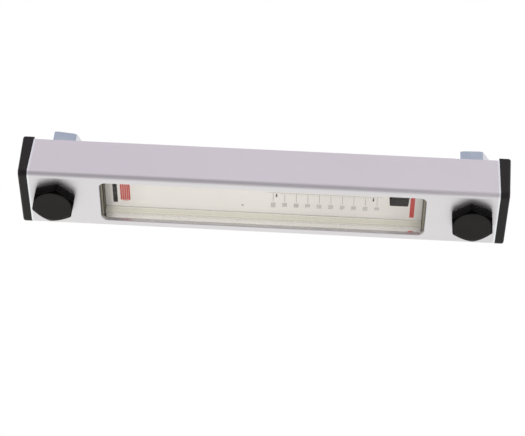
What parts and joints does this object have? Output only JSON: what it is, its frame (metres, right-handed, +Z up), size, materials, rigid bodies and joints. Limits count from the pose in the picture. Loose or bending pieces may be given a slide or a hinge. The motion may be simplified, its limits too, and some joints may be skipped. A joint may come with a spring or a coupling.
{
  "type": "tank level gauge",
  "caption": "Tank level gauge with built-in thermometer: aluminium housing with a long window, clear sight tube on a white scale plate, fixed by hollow M12 bolts with nuts.",
  "frame": {"origin": "on the plane of the tank wall, between the two rear seals, midway between the two bolt axes", "axes": "+Z up along the gauge; -Y the viewing side; +Y into the tank, along the bolts; +X to the right seen from the viewing side"},
  "size_m": [0.034, 0.0458, 0.235],
  "materials": {
    "anodised": "satin",
    "black_plastic": "matte",
    "clear_plastic": "clear",
    "white_plastic": "matte",
    "glass": "clear",
    "red_liquid": "gloss",
    "rubber": "matte",
    "black_steel": "black oxide, satin",
    "zinc": "zinc plated"
  },
  "bodies": {
    "root": {"housing_profile": "anodised", "end_cap_upper": "black_plastic", "end_cap_lower": "black_plastic", "sight_tube": "clear_plastic", "scale_plate": "white_plastic", "thermometer_glass": "glass", "thermometer_liquid": "red_liquid", "thermometer_holder_lower": "black_plastic", "thermometer_holder_upper": "white_plastic", "end_block_upper": "black_plastic", "end_block_lower": "black_plastic", "tube_gasket_upper": "rubber", "tube_gasket_lower": "rubber", "front_o_ring_upper": "rubber", "front_o_ring_lower": "rubber", "rear_seal_upper": "rubber", "rear_seal_lower": "rubber", "hollow_bolt_upper": "black_steel", "hollow_bolt_lower": "black_steel", "nut_upper": "zinc", "nut_lower": "zinc"}
  },
  "joints": []
}
